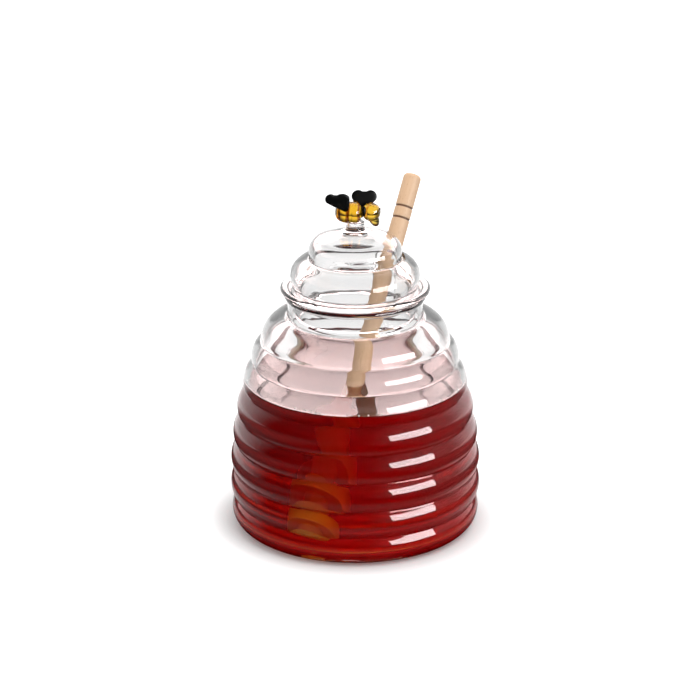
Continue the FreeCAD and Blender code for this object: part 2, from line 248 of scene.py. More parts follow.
def soften(points, step, blur):
    """Points spread evenly along the outline, then averaged with a Gaussian window of width blur.

    The outline runs on past its ends as its own mirror image through them, and both ends stay in place.
    """
    points = np.asarray(points, float)
    gap = np.linalg.norm(np.diff(points, axis=0), axis=1)
    points = points[np.concatenate([[True], gap > SAME_POINT])]
    along = np.concatenate([[0.0], np.cumsum(np.linalg.norm(np.diff(points, axis=0), axis=1))])
    count = max(LEAST_POINTS, int(along[-1] / step))
    even = np.linspace(0, along[-1], count)
    line = np.stack([np.interp(even, along, points[:, i]) for i in (0, 1)], -1)
    spacing = along[-1] / count
    reach = max(1, int(3 * blur / spacing))
    window = np.exp(-0.5 * (np.arange(-reach, reach + 1) * spacing / blur) ** 2)
    window /= window.sum()
    low = 2 * line[0] - line[1:reach + 1][::-1]
    high = 2 * line[-1] - line[-reach - 1:-1][::-1]
    padded = np.concatenate([low, line, high])
    soft = np.stack([np.convolve(padded[:, i], window, "valid") for i in (0, 1)], -1)
    soft[0], soft[-1] = line[0], line[-1]
    return soft


def ring_arcs(points, inset):
    """One arc for each ring, whose crest meets the hive's ellipse moved in by inset."""
    arcs = []
    for low, high in zip(points, points[1:]):
        middle = (low + high) / 2
        crest = hive_outline(middle[1], inset)
        run = high - low
        stand_off = ((crest - middle)[0] * run[1] - (crest - middle)[1] * run[0]) / np.linalg.norm(run)
        arcs.append(bend(low, high, max(stand_off, LEAST_BULGE)))
    return arcs


def valleys(inset):
    """The grooves between the rings, from the foot to the corner where the shoulder meets the neck."""
    heights = [FIRST_RING + i * RING_PITCH for i in range(MIDDLE_RINGS + 1)]
    heights.append(heights[-1] + UPPER_RING)
    points = [np.array([HIVE_RADIUS - FOOT_INSET - inset, 0.0])]
    points += [hive_outline(height, GROOVE + inset) for height in heights]
    slope = math.atan2(NECK_START - points[-1][1], points[-1][0] - NECK_RADIUS)
    drop = inset * math.tan((math.pi / 2 - slope) / 2)
    points.append(np.array([NECK_RADIUS - inset, NECK_START - drop]))
    return points


def jar_outside():
    """Underside, foot, rings, neck and rolled rim, from the axis to the rim's top."""
    marks = valleys(0.0)
    rim_low = (RIM_RADIUS - RIM_THICKNESS / 2, RIM_TOP - RIM_THICKNESS)
    rim_high = (rim_low[0], RIM_TOP)
    neck = through(marks[-1], (NECK_RADIUS - NECK_WAIST, NECK_START + NECK_HEIGHT / 2), rim_low)
    rim = bend(rim_low, rim_high, RIM_THICKNESS / 2)
    return np.concatenate([[(0.0, 0.0)], *ring_arcs(marks, 0.0), neck, rim])


def jar_inside():
    """Floor, inner rings, bore and flared mouth, from the axis to the rim's top."""
    marks = valleys(WALL)
    marks[0] = np.array([marks[0][0], FLOOR])
    mouth = bend((NECK_BORE, RIM_TOP - RIM_THICKNESS), (NECK_BORE + MOUTH_FLARE, RIM_TOP), MOUTH_CURVE)
    return np.concatenate([[(0.0, FLOOR)], *ring_arcs(marks, WALL), mouth])


def offset(points, distance):
    """The outline moved along its right-hand normal."""
    run = np.gradient(points, axis=0)
    run /= np.linalg.norm(run, axis=1)[:, None]
    return points + distance * np.stack([run[:, 1], -run[:, 0]], -1)


# --- meshes ---
def skin(name, grid, smooth_angle=SMOOTH_ANGLE):
    """Mesh over a grid of points in millimetres; equal points merge, so seams and poles close."""
    rows, columns = grid.shape[:2]
    index = np.arange(rows * columns).reshape(rows, columns)
    faces = np.stack([index[:-1, :-1], index[:-1, 1:], index[1:, 1:], index[1:, :-1]], -1).reshape(-1, 4)
    mesh = bpy.data.meshes.new(name)
    mesh.from_pydata((grid.reshape(-1, 3) * MM).tolist(), [], faces.tolist())
    return finish_mesh(name, mesh, smooth_angle)


def finish_mesh(name, mesh, smooth_angle):
    """Merges equal points, turns faces outward and shades the mesh smooth up to an angle in degrees."""
    edit = bmesh.new()
    edit.from_mesh(mesh)
    bmesh.ops.remove_doubles(edit, verts=edit.verts, dist=MERGE_METRES)
    bmesh.ops.dissolve_degenerate(edit, edges=edit.edges, dist=SLIVER_METRES)
    bmesh.ops.recalc_face_normals(edit, faces=edit.faces)
    edit.to_mesh(mesh)
    edit.free()
    mesh.shade_smooth()
    mesh.set_sharp_from_angle(angle=math.radians(smooth_angle))
    return place_piece(name, mesh)


def place_piece(name, mesh):
    piece = bpy.data.objects.new(name, mesh)
    bpy.context.scene.collection.objects.link(piece)
    return piece


def join_skins(name, grids):
    """One piece that holds the skin over each grid."""
    edit = bmesh.new()
    for grid in grids:
        part = skin(f"{name}_part", grid)
        edit.from_mesh(part.data)
        bpy.data.objects.remove(part)
    mesh = bpy.data.meshes.new(name)
    edit.to_mesh(mesh)
    edit.free()
    return place_piece(name, mesh)


def revolve(outline, sides):
    """Grid of the outline turned about Z: x = r cos a, y = r sin a, z = height."""
    angle = np.linspace(0, 2 * math.pi, sides + 1)
    radius, height = outline[:, 0][:, None], outline[:, 1][:, None]
    grid = np.stack([radius * np.cos(angle), radius * np.sin(angle), height + 0 * angle], -1)
    grid[:, -1] = grid[:, 0]
    return grid


def mark_faces(piece, name, chosen):
    """Face attribute that is 1 where chosen(centre, normal), both in millimetres, holds and 0 elsewhere."""
    mesh = piece.data
    count = len(mesh.polygons)
    centre, normal = np.empty(3 * count), np.empty(3 * count)
    mesh.polygons.foreach_get("center", centre)
    mesh.polygons.foreach_get("normal", normal)
    value = chosen(centre.reshape(-1, 3) / MM, normal.reshape(-1, 3))
    mesh.attributes.new(name, "FLOAT", "FACE").data.foreach_set("value", value.astype(np.float32))
    return value


def make_jar():
    """The jar's wall as one turned skin: up its outside, over the rim and down its inside."""
    outside = soften(jar_outside(), *JAR_OUTSIDE_LAY)
    inside = soften(jar_inside(), *JAR_INSIDE_LAY)
    return skin("jar_glass", revolve(np.concatenate([outside, inside[::-1]]), JAR_SIDES))


def wetted(centre, normal):
    """Inner faces of the jar under the honey's edge: their normals point to the axis or up from the floor."""
    outward = centre[:, 0] * normal[:, 0] + centre[:, 1] * normal[:, 1]
    outward /= np.hypot(centre[:, 0], centre[:, 1])
    low = centre[:, 2] < HONEY_LEVEL + MENISCUS_RISE
    return low & (outward < WALL_OUTWARD) & (normal[:, 2] > FLOOR_UPWARD)


def make_honey():
    """Honey's skin just inside the glass wall, with a meniscus: level + rise exp(-(wall - r) / reach)."""
    side = offset(soften(jar_inside(), *JAR_INSIDE_LAY), WALL_BITE)
    side[0, 0] = 0.0
    side = side[side[:, 1] < HONEY_LEVEL + MENISCUS_RISE]
    edge = side[-1, 0]
    band = np.linspace(0.0, MENISCUS_BAND, MENISCUS_ROWS)[1:]
    radius = edge - np.concatenate([band, np.linspace(MENISCUS_BAND, edge, LEVEL_ROWS)[1:]])
    height = HONEY_LEVEL + MENISCUS_RISE * np.exp(-(edge - radius) / MENISCUS_REACH)
    top = np.stack([radius, height], -1)
    honey = skin("honey_fill", revolve(np.concatenate([side, top]), JAR_SIDES))
    mark_faces(honey, "in_wall", lambda centre, normal:
               (centre[:, 2] < HONEY_LEVEL - SURFACE_SLACK) | (normal[:, 2] < SURFACE_UPWARD))
    return honey


def dipper_outline():
    """Turned profile from the head's end to the handle's crown, with barrel-shaped discs on the head."""
    def barrel(height):
        return HEAD_RADIUS - (HEAD_RADIUS - HEAD_END_RADIUS) * (2 * height / HEAD_LENGTH - 1) ** 2

    points = [(0, 0), (HEAD_END_RADIUS - END_ROUND, 0)]
    end = (HEAD_END_RADIUS, END_ROUND)
    points += bend(points[-1], end, QUARTER_BULGE * END_ROUND, TINY_ARC_POINTS).tolist()
    for index in range(HEAD_GROOVES):
        low = (index + 1) * HEAD_PITCH - HEAD_GROOVE_WIDTH
        high = low + HEAD_GROOVE_WIDTH
        points += [(barrel(low), low), (HEAD_CORE, low), (HEAD_CORE, high), (barrel(high), high)]
    points.append((barrel(HEAD_LENGTH), HEAD_LENGTH))
    handle_low = (HANDLE_RADIUS, HEAD_LENGTH + HEAD_NECK)
    points += bend(points[-1], handle_low, -HEAD_NECK_HOLLOW, HEAD_NECK_POINTS).tolist()
    for distance in sorted(BURNT_RINGS, reverse=True):
        middle = DIPPER_LENGTH - distance
        low = (HANDLE_RADIUS, middle - BURNT_WIDTH / 2)
        high = (HANDLE_RADIUS, middle + BURNT_WIDTH / 2)
        points += [low]
        points += through(low, (HANDLE_RADIUS - BURNT_DEPTH, middle), high, TINY_ARC_POINTS).tolist()
    points.append((HANDLE_RADIUS, DIPPER_LENGTH - END_ROUND))
    crown = (HANDLE_RADIUS - END_ROUND, DIPPER_LENGTH)
    points += bend(points[-1], crown, QUARTER_BULGE * END_ROUND, SMALL_ARC_POINTS).tolist()
    points.append((0, DIPPER_LENGTH))
    return soften(points, *WOOD_LAY)


def dipper_seat():
    """Lower end's distance along the dipper's plane, its height, and the lean.

    The head's end stands on the floor and against the wall, and the handle leans on the mouth's lower or
    upper edge, whichever it meets first. The plane passes beside the jar's axis.
    """
    def beside(radius):
        return math.sqrt(radius ** 2 - DIPPER_SIDE ** 2)

    edges = ((NECK_BORE, RIM_TOP - RIM_THICKNESS), (NECK_BORE + MOUTH_FLARE, RIM_TOP))
    tilt = SEAT_FIRST_LEAN
    for _ in range(SEAT_ROUNDS):
        height = FLOOR + REST_GAP + END_ROUND * (1.0 - math.cos(tilt))
        height += (HEAD_END_RADIUS - END_ROUND) * math.sin(tilt)
        reach = beside(valleys(WALL)[1][0] - REST_GAP - HEAD_END_RADIUS * math.cos(tilt))
        half = HANDLE_RADIUS / math.cos(tilt)
        tilt = min(math.atan2(beside(radius - REST_GAP - half) + reach, top - height)
                   for radius, top in edges)
    return reach, height, tilt


def turn_to_dipper(along, across, up):
    """Points from the dipper's plane, along its lean and across it, to the jar's frame."""
    across = across - DIPPER_SIDE
    return np.stack([along * math.sin(DIPPER_TURN) - across * math.cos(DIPPER_TURN),
                     along * math.cos(DIPPER_TURN) + across * math.sin(DIPPER_TURN), up], -1)


def lean(grid):
    """Points from the dipper's upright frame to its resting place: tip by the lean, slide out, turn."""
    reach, height, tilt = dipper_seat()
    x, y, z = grid[..., 0], grid[..., 1], grid[..., 2]
    along = x * math.cos(tilt) + z * math.sin(tilt) - reach
    return turn_to_dipper(along, y, -x * math.sin(tilt) + z * math.cos(tilt) + height)


def make_dipper():
    return skin("dipper_wood", lean(revolve(dipper_outline(), DIPPER_SIDES)), WOOD_SMOOTH_ANGLE)


def about(centre, radius, first, last, count=ARC_POINTS):
    """Circular arc about a centre, between two angles."""
    angle = np.linspace(first, last, count)
    return np.stack([centre[0] + radius * np.cos(angle), centre[1] + radius * np.sin(angle)], -1)


def lid_outline(inset):
    """Dome from the flange to the crown: ring, groove, near-upright side, shoulder arc and crown arc.

    With the shoulder's arc of radius r about (a - r, side top) and a crown h high, the crown's radius is
    ((a - r)^2 + h^2 - r^2) / (2 (h - r)), and both arcs share a tangent.
    """
    start = (DOME_RADIUS - inset, FLANGE_TOP)
    crest = (start[0] + LID_RING_BULGE, FLANGE_TOP + LID_RING_CREST)
    groove = (CAP_RADIUS - LID_GROOVE - inset, FLANGE_TOP + LID_RING_HEIGHT - inset / 2)
    centre = (CAP_RADIUS - CAP_SHOULDER, FLANGE_TOP + LID_RING_HEIGHT + CAP_SIDE)
    radius, height = CAP_SHOULDER - inset, CAP_CROWN - inset
    crown_radius = (centre[0] ** 2 + height ** 2 - radius ** 2) / (2 * (height - radius))
    crown = (0.0, centre[1] + height - crown_radius)
    tangent = math.atan2(centre[1] - crown[1], centre[0])
    last = math.acos((KNOB_FOOT_RADIUS if inset == 0 else 0.0) / crown_radius)
    return np.concatenate([through(start, crest, groove, LONG_ARC_POINTS),
                           about(centre, radius, 0.0, tangent),
                           about(crown, crown_radius, tangent, last)])


def make_lid():
    """Skirt, flange, dome, cap and stem as one turned wall, with the arched notch cut through."""
    low = RIM_TOP - SKIRT_LENGTH
    flange_edge = RIM_RADIUS + FLANGE_OVERHANG - FLANGE_THICKNESS / 2
    dome = lid_outline(0.0)
    top = dome[-1, 1]
    outer = [(SKIRT_RADIUS, low), (SKIRT_RADIUS, RIM_TOP), (flange_edge, RIM_TOP)]
    outer += bend(outer[-1], (flange_edge, FLANGE_TOP), FLANGE_THICKNESS / 2, FLANGE_POINTS).tolist()
    outer += dome.tolist()
    stem_low = (STEM_RADIUS, top + KNOB_FOOT_HEIGHT)
    outer += bend(dome[-1], stem_low, -KNOB_FOOT_HOLLOW, SMALL_ARC_POINTS).tolist()
    outer += [(STEM_RADIUS, top + STEM_HEIGHT), (0.0, top + STEM_HEIGHT)]
    inside = SKIRT_RADIUS - LID_WALL
    inner = [(inside, low), (inside, RIM_TOP)] + lid_outline(LID_WALL).tolist()
    outer = soften(outer, *LID_OUTSIDE_LAY)
    inner = soften(inner, *LID_INSIDE_LAY)
    lid = skin("lid_glass", revolve(np.concatenate([inner[::-1], outer]), LID_SIDES))
    cut_notch(lid)
    return lid


def cut_notch(lid):
    """Cuts the arch, a straight-sided slot with a round top, out of the lid along the dipper's lean."""
    half = HANDLE_RADIUS + NOTCH_CLEARANCE
    low = RIM_TOP - SKIRT_LENGTH - CUT_MARGIN
    spring = FLANGE_TOP + NOTCH_HEIGHT - half
    angle = np.linspace(0, math.pi, ARCH_POINTS)
    arch = np.stack([half * np.cos(angle), spring + half * np.sin(angle)], -1)
    loop = np.concatenate([[(half, low)], arch, [(-half, low)], [(half, low)]])
    ends = [turn_to_dipper(reach + 0 * loop[:, 0], loop[:, 0], loop[:, 1])
            for reach in (0.0, 2 * RIM_RADIUS)]
    middles = [np.broadcast_to(end.mean(axis=0), end.shape) for end in ends]
    cutter = skin("notch_cutter", np.stack([middles[0], ends[0], ends[1], middles[1]]))
    change = lid.modifiers.new("notch", "BOOLEAN")
    change.operation = "DIFFERENCE"
    change.solver = "EXACT"
    change.object = cutter
    keep_modified(lid)
    bpy.data.objects.remove(cutter)


def keep_modified(piece):
    """Replaces a piece's mesh by what its modifiers make of it."""
    graph = bpy.context.evaluated_depsgraph_get()
    mesh = bpy.data.meshes.new_from_object(piece.evaluated_get(graph))
    piece.modifiers.clear()
    old = piece.data
    piece.data = mesh
    bpy.data.meshes.remove(old)


def bee_axis_height():
    """Height of the bee's long axis, with its belly sunk a little into the stem."""
    return lid_outline(0.0)[-1, 1] + STEM_HEIGHT + BEE_BODY_RADIUS - BEE_SEAT


def drop_form(start, end, width, blunt=1.0):
    """Turned drop between two points: its radius is width sin(t)^blunt along the half circle of t."""
    start, end = np.array(start, float), np.array(end, float)
    run = (end - start) / np.linalg.norm(end - start)
    side = np.cross(run, (0.0, 1.0, 0.0))
    side /= np.linalg.norm(side)
    up = np.cross(run, side)
    t = np.linspace(0, math.pi, FORM_ROWS)[:, None, None]
    a = np.linspace(0, 2 * math.pi, FORM_ROWS + 1)[None, :, None]
    radius = width * np.sin(t).clip(0) ** blunt
    grid = start + (end - start) * (1 - np.cos(t)) / 2 + radius * (np.cos(a) * side + np.sin(a) * up)
    grid[:, -1] = grid[:, 0]
    return grid


def ellipsoid(centre, half):
    """Points of the ellipsoid centre + half (cos t, sin t cos a, sin t sin a)."""
    t = np.linspace(0, math.pi, FORM_ROWS)[:, None]
    a = np.linspace(0, 2 * math.pi, FORM_ROWS + 1)[None, :]
    grid = np.stack([np.cos(t) + 0 * a, np.sin(t) * np.cos(a), np.sin(t) * np.sin(a)], -1)
    grid[:, -1] = grid[:, 0]
    return np.array(centre) + grid * np.array(half)


def melt(name, grids, smoothing):
    """Closed forms melted into one skin: a fine voxel remesh, then smoothing rounds the joins."""
    piece = join_skins(name, grids)
    remesh = piece.modifiers.new("melt", "REMESH")
    remesh.mode = "VOXEL"
    remesh.voxel_size = MELT_VOXEL * MM
    soft = piece.modifiers.new("round", "SMOOTH")
    soft.factor = 0.5
    soft.iterations = smoothing
    keep_modified(piece)
    piece.data.shade_smooth()
    return piece


def over_axis(*points):
    """Points of the bee, given over its long axis, in the jar's frame."""
    return [(x, y, z + bee_axis_height()) for x, y, z in points]


def make_bee_body():
    """Drop-shaped body, thin waist, ball head with a drawn snout and a feeler stub, facing +X."""
    belly, head = over_axis(BEE_BELLY, BEE_HEAD)
    grids = [drop_form(*over_axis(*BEE_DROP), BEE_BODY_RADIUS, BEE_DROP_BLUNT),
             ellipsoid(belly, BEE_BELLY_HALF),
             drop_form(*over_axis(*BEE_WAIST), BEE_WAIST_RADIUS),
             ellipsoid(head, (BEE_HEAD_RADIUS, BEE_HEAD_RADIUS, BEE_HEAD_RADIUS)),
             drop_form(*over_axis(*BEE_SNOUT), BEE_SNOUT_RADIUS),
             drop_form(*over_axis(*BEE_FEELER), BEE_FEELER_RADIUS)]
    return melt("bee_amber", grids, BODY_SMOOTHING)


def make_bee_collar():
    """Black disc round the waist, against the head, with a cheek on the viewer's side."""
    disc, cheek = over_axis(COLLAR_DISC, COLLAR_CHEEK)
    grids = [ellipsoid(disc, COLLAR_DISC_HALF), ellipsoid(cheek, COLLAR_CHEEK_HALF)]
    return melt("bee_collar_black", grids, COLLAR_SMOOTHING)


def pebble(start, end, radii):
    """Flat rounded stone over a line in the upright plane, its half width going from one radius to the other.

    The share s along the line is 0.5 + taper times the cosine between the rim's angle a and the line,
    clipped to 0..1. A point is u (start + s run + r(s) (cos a, sin a)) + (1 - u) (start + run / 2), with
    w of half the thickness to the side, and u^4 + w^4 = 1 rounds the edge.
    """
    t = np.linspace(0, math.pi, FORM_ROWS)[:, None]
    a = np.linspace(0, 2 * math.pi, PEBBLE_SIDES + 1)[None, :]
    flat, thick = np.sin(t) ** 0.5, np.sign(np.cos(t)) * np.abs(np.cos(t)) ** 0.5
    start, end = np.array(start), np.array(end)
    run = end - start
    ahead = np.cos(a - math.atan2(run[1], run[0]))
    share = np.clip(0.5 + LOBE_TAPER * ahead, 0, 1)
    radius = radii[0] + (radii[1] - radii[0]) * share
    x = start[0] + run[0] * share * flat + radius * flat * np.cos(a)
    z = start[1] + run[1] * share * flat + radius * flat * np.sin(a)
    x = x + (1 - flat) * run[0] / 2
    z = z + (1 - flat) * run[1] / 2
    grid = np.stack([x, WING_THICKNESS / 2 * thick + 0 * a, z], -1)
    grid[:, -1] = grid[:, 0]
    return grid


def make_wing(name, root, side, root_radius, lobes):
    """Flat lobes melted together over a root on the bee's back, splayed outward about its long axis.

    Each lobe has a direction in degrees from upright towards the head, a distance and a radius.
    """
    places = [(distance * math.sin(math.radians(turn)), distance * math.cos(math.radians(turn)))
              for turn, distance, _ in lobes]
    radii = [radius for _, _, radius in lobes]
    grids = [pebble((0.0, 0.0), place, (root_radius, radius)) for place, radius in zip(places, radii)]
    grids.append(pebble(*places, [radius * LOBE_BRIDGE for radius in radii]))
    splay = side * WING_SPLAY
    placed = []
    for grid in grids:
        y = grid[..., 1] * math.cos(splay) + grid[..., 2] * math.sin(splay)
        z = -grid[..., 1] * math.sin(splay) + grid[..., 2] * math.cos(splay)
        up = z + root[1] + bee_axis_height()
        placed.append(np.stack([grid[..., 0] + root[0], y + side * WING_SIDE, up], -1))
    return melt(name, placed, WING_SMOOTHING)


def make_bubbles():
    """Small bubbles that cling where the honey meets the glass: most near the viewer, a few further round."""
    rng = np.random.default_rng(BUBBLE_SEED)
    inside = jar_inside()
    grids = []
    for angle in np.concatenate([rng.uniform(*BUBBLES_NEAR), rng.uniform(*BUBBLES_ROUND)]):
        size = rng.uniform(*BUBBLE_RADIUS)
        height = HONEY_LEVEL + MENISCUS_RISE + rng.uniform(*BUBBLE_HEIGHT)
        radius = np.interp(height, inside[:, 1], inside[:, 0]) - size * BUBBLE_BITE
        place = (radius * math.sin(angle), -radius * math.cos(angle), height)
        grids.append(ellipsoid(place, (size, size, size))[::BUBBLE_SKIP, ::BUBBLE_SKIP])
    piece = join_skins("bubbles", grids)
    piece.data.shade_smooth()
    return piece


# --- materials ---
GLASS_IOR = 1.47
HONEY_IOR = 1.49
AMBER_IOR = 1.5
BUBBLE_IOR = 1.33
JAR_WAVE = 0.10               # height of the waves in the glass, in millimetres
LID_WAVE = 0.45
WAVE_STRETCH = (1.0, 1.0, 2.6)
SIDE_HAZE = 0.27              # share of light that the honey's skin scatters against the glass
TOP_HAZE = 0.08               # and on its open top
GRAIN_STRETCH = (1.0, 1.0, 0.06)
FLECK_STRETCH = (1.0, 1.0, 0.22)
BURN_CORE = 0.25 * MM         # half widths of a burnt ring: fully dark, and where it ends
BURN_EDGE = 0.62 * MM
BURN_SHARE = 0.9
AMBER_BANDS = ((-6.4, 0.7), (-3.0, 0.8), (1.3, 0.8))    # middle along the bee, and half width
AMBER_SWAY = 1.6              # how far noise moves the bands; its middle moves them by half of this
STREAK_CORE = 0.3             # share of a band's half width that is fully brown
BELLY_PAINTED_SHADE = (-3.9, -5.0)    # heights over the bee's axis between which the glass turns brown: painted shade on its underside


def linear(code):
    """sRGB hex colour as linear RGBA."""
    value = np.array([int(code[i:i + 2], 16) for i in (1, 3, 5)]) / 255
    value = np.where(value <= 0.04045, value / 12.92, ((value + 0.055) / 1.055) ** 2.4)
    return (*value.tolist(), 1.0)


def add(tree, kind, settings=None, inputs=None):
    """Adds a node with its settings, and its inputs set to values or linked to other nodes' outputs."""
    made = tree.nodes.new(kind)
    for key, value in (settings or {}).items():
        setattr(made, key, value)
    for key, value in (inputs or {}).items():
        if isinstance(value, bpy.types.NodeSocket):
            tree.links.new(value, made.inputs[key])
        else:
            made.inputs[key].default_value = value
    return made


def maths(tree, operation, first, second=0.0):
    return add(tree, "ShaderNodeMath", {"operation": operation}, {0: first, 1: second}).outputs[0]


def times(tree, first, second):
    return maths(tree, "MULTIPLY", first, second)


def largest(tree, first, second):
    return maths(tree, "MAXIMUM", first, second)


def fade(tree, source, low, high, first, last):
    """Smooth step from one level to another between two values of the source."""
    return add(tree, "ShaderNodeMapRange", {"interpolation_type": "SMOOTHSTEP"}, {
        "Value": source, "From Min": low, "From Max": high, "To Min": first, "To Max": last}).outputs[0]


def mix_colours(tree, share, first, second):
    made = add(tree, "ShaderNodeMix", {"data_type": "RGBA"}, {0: share, 6: first, 7: second})
    return made.outputs[2]


def mix_shaders(tree, share, first, second):
    return add(tree, "ShaderNodeMixShader", {}, {0: share, 1: first, 2: second}).outputs[0]


def object_place(tree):
    return add(tree, "ShaderNodeTexCoord").outputs["Object"]


def scaled(tree, place, scale):
    return add(tree, "ShaderNodeMapping", {}, {"Vector": place, "Scale": scale}).outputs[0]


def noise(tree, place, scale, detail, roughness=0.5):
    return add(tree, "ShaderNodeTexNoise", {}, {
        "Vector": place, "Scale": scale, "Detail": detail, "Roughness": roughness}).outputs["Fac"]


def bump(tree, height, strength, distance):
    """Relief from a height, its depth in millimetres."""
    return add(tree, "ShaderNodeBump", {}, {
        "Height": height, "Strength": strength, "Distance": distance * MM}).outputs[0]


def principled(tree, **inputs):
    """Principled shader; an underscore in an input's name stands for a space."""
    named = {key.replace("_", " "): value for key, value in inputs.items()}
    return add(tree, "ShaderNodeBsdfPrincipled", {}, named).outputs[0]


def clear(tree, ior, colour=linear("#FFFFFF"), **inputs):
    """Mirror-smooth clear glass or liquid."""
    return principled(tree, Base_Color=colour, Roughness=0.0, IOR=ior, Transmission_Weight=1.0, **inputs)


def new_material(name):
    material = bpy.data.materials.new(name)
    material.use_nodes = True
    material.node_tree.nodes.clear()
    return material, material.node_tree


def finish_material(material, surface, absorbed=None, density=0.0):
    """Ends a material in its surface and, for clear ones, in what its body absorbs per metre."""
    tree = material.node_tree
    ends = {"Surface": surface}
    if absorbed:
        depth = add(tree, "ShaderNodeVolumeAbsorption", {}, {"Color": linear(absorbed), "Density": density})
        ends["Volume"] = depth.outputs[0]
    add(tree, "ShaderNodeOutputMaterial", {}, ends)
    return material


def clear_glass(name, ior, wave=0.0):
    """Clear borosilicate, blown and fire polished: sharp reflections, and a slow wave from the blowing."""
    material, tree = new_material(name)
    waves = {}
    if wave:
        place = scaled(tree, object_place(tree), WAVE_STRETCH)
        slow = noise(tree, place, scale=55.0, detail=1.5, roughness=0.4)
        waves["Normal"] = bump(tree, slow, strength=1.0, distance=wave)
    return finish_material(material, clear(tree, ior, **waves))


def red_honey():
    """Dark red honey: a mirror-smooth liquid that swallows blue and green, with a faint haze of pollen.

    Where it lies in the glass wall its surface only bends light by the step from glass to honey.
    """
    material, tree = new_material("dark_red_clear_honey")
    in_wall = add(tree, "ShaderNodeAttribute", {"attribute_name": "in_wall"}).outputs["Fac"]
    haze = add(tree, "ShaderNodeBsdfDiffuse", {}, {"Color": linear("#ED0A12")}).outputs[0]
    top = mix_shaders(tree, TOP_HAZE, clear(tree, HONEY_IOR), haze)
    side = mix_shaders(tree, SIDE_HAZE, clear(tree, HONEY_IOR / GLASS_IOR), haze)
    surface = mix_shaders(tree, in_wall, top, side)
    return finish_material(material, surface, absorbed="#F3DC00", density=289.0)


def bare_beech():
    """Beech, turned and fine sanded: pale pinkish tan, with faint growth bands, short dark ray flecks and
    burnt rings.
    """
    material, tree = new_material("bare_beech_fine_sanded")
    tilt = dipper_seat()[2]
    turn = Vector((math.sin(tilt) * math.sin(DIPPER_TURN), math.sin(tilt) * math.cos(DIPPER_TURN),
                   math.cos(tilt)))
    euler = turn.to_track_quat("Z", "Y").inverted().to_euler()
    along = add(tree, "ShaderNodeMapping", {"vector_type": "POINT"}, {
        "Vector": object_place(tree), "Rotation": tuple(euler)}).outputs[0]
    bands = noise(tree, scaled(tree, along, GRAIN_STRETCH), scale=900.0, detail=3.0, roughness=0.6)
    flecks = noise(tree, scaled(tree, along, FLECK_STRETCH), scale=2600.0, detail=1.0)
    fleck = add(tree, "ShaderNodeMapRange", {}, {
        "Value": flecks, "From Min": 0.62, "From Max": 0.72, "To Max": 0.35}).outputs[0]
    wood = mix_colours(tree, bands, linear("#DFB48E"), linear("#EECAA6"))
    speckled = mix_colours(tree, fleck, wood, linear("#B98A66"))
    height = add(tree, "ShaderNodeSeparateXYZ", {}, {0: along}).outputs[2]
    base = turn.dot(Vector(lean(np.zeros((1, 3)))[0] * MM))
    burnt = 0.0
    for distance in BURNT_RINGS:
        away = maths(tree, "SUBTRACT", height, base + (DIPPER_LENGTH - distance) * MM)
        ring = fade(tree, maths(tree, "ABSOLUTE", away), BURN_CORE, BURN_EDGE, BURN_SHARE, 0.0)
        burnt = largest(tree, burnt, ring)
    colour = mix_colours(tree, burnt, speckled, linear("#5A3320"))
    relief = bump(tree, bands, strength=0.25, distance=0.08)
    return finish_material(material, principled(
        tree, Base_Color=colour, Roughness=0.6, Specular_IOR_Level=0.35, Normal=relief))


def amber_glass():
    """Amber glass, worked in the flame: clear yellow, brown underneath as painted shade, with brown drawn
    streaks round it.
    """
    material, tree = new_material("amber_glass_flame_worked")
    place = object_place(tree)
    split = add(tree, "ShaderNodeSeparateXYZ", {}, {0: place})
    sway = times(tree, noise(tree, place, scale=220.0, detail=0.0), AMBER_SWAY * MM)
    along = maths(tree, "ADD", split.outputs[0], sway)
    high, low = ((bee_axis_height() + height) * MM for height in BELLY_PAINTED_SHADE)
    # Painted shade: the glass turns brown towards the bee's underside; the streaks below are the glass's own
    # colour.
    brown = fade(tree, split.outputs[2], high, low, 0.0, 1.0)
    for middle, half in AMBER_BANDS:
        away = maths(tree, "SUBTRACT", along, (middle + AMBER_SWAY / 2) * MM)
        streak = fade(tree, maths(tree, "ABSOLUTE", away), STREAK_CORE * half * MM, half * MM, 1.0, 0.0)
        brown = largest(tree, brown, streak)
    tint = mix_colours(tree, brown, linear("#FFEC9A"), linear("#6E3408"))
    return finish_material(material, clear(tree, AMBER_IOR, tint), absorbed="#FCE700", density=260.0)


def black_glass():
    """Opaque black glass, worked in the flame: smooth, with a soft gloss."""
    material, tree = new_material("black_glass_flame_worked")
    ripple = noise(tree, object_place(tree), scale=700.0, detail=1.0)
    relief = bump(tree, ripple, strength=0.3, distance=0.1)
    return finish_material(material, principled(
        tree, Base_Color=linear("#040507"), Roughness=0.45, Specular_IOR_Level=0.2, Normal=relief))


def bubble_painted_shine():
    """Air bubbles in the honey's edge, opaque and near white: a painted reflection that stands in for the
    bright shine of air in honey.
    """
    material, tree = new_material("bubble_painted_shine")
    # Near-white opaque colour: painted reflection in place of the bubbles' shine.
    return finish_material(material, principled(
        tree, Base_Color=linear("#FFF6F0"), Roughness=0.3, IOR=BUBBLE_IOR))


def dress(piece, material, nodes=()):
    piece.data.materials.clear()
    piece.data.materials.append(material)
    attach(piece, "root")
    if nodes:
        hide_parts(*nodes)


